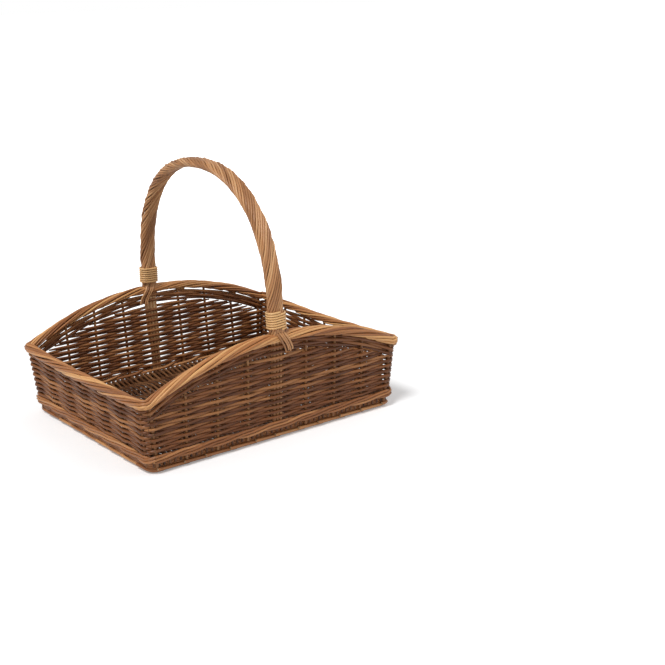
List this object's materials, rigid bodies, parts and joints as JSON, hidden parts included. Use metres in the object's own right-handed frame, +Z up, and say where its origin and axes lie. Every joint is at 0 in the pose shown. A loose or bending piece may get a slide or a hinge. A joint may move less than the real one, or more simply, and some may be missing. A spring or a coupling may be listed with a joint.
{
  "type": "garden trug basket",
  "caption": "Low rectangular willow basket with outward-leaning woven walls, long sides rising to a roped arched handle with wound bindings, for carrying cut flowers and vegetables.",
  "frame": {"origin": "centre of the footprint's bounding box, on the ground", "axes": "+X along the long sides, +Y towards the back wall, +Z up; the handle arches across Y"},
  "size_m": [0.5124, 0.4274, 0.4349],
  "materials": {
    "siding_rod": "satin",
    "stake_rod": "satin",
    "wale_rod": "satin",
    "border_rod": "satin",
    "base_rod": "satin",
    "binding_cane": "satin"
  },
  "bodies": {
    "root": {"base_edge_stick_back": "base_rod", "base_edge_stick_front": "base_rod", "base_sticks": "base_rod", "base_weavers": "base_rod", "border_back": "border_rod", "border_front": "border_rod", "border_left_end": "border_rod", "border_right_end": "border_rod", "bottom_wale_back": "wale_rod", "bottom_wale_front": "wale_rod", "bottom_wale_left_end": "wale_rod", "bottom_wale_right_end": "wale_rod", "corner_posts_back_left": "stake_rod", "corner_posts_back_right": "stake_rod", "corner_posts_front_left": "stake_rod", "corner_posts_front_right": "stake_rod", "foot_rods_back": "wale_rod", "foot_rods_front": "wale_rod", "foot_rods_left_end": "wale_rod", "foot_rods_right_end": "wale_rod", "handle_binding_back": "binding_cane", "handle_binding_front": "binding_cane", "handle_core_rods": "border_rod", "handle_rope_rods": "border_rod", "handle_tails_back_inner": "border_rod", "handle_tails_back_outer": "border_rod", "handle_tails_front_inner": "border_rod", "handle_tails_front_outer": "border_rod", "siding_back": "siding_rod", "siding_front": "siding_rod", "siding_left_end": "siding_rod", "siding_right_end": "siding_rod", "stakes_back": "stake_rod", "stakes_front": "stake_rod", "stakes_left_end": "stake_rod", "stakes_right_end": "stake_rod"}
  },
  "joints": []
}
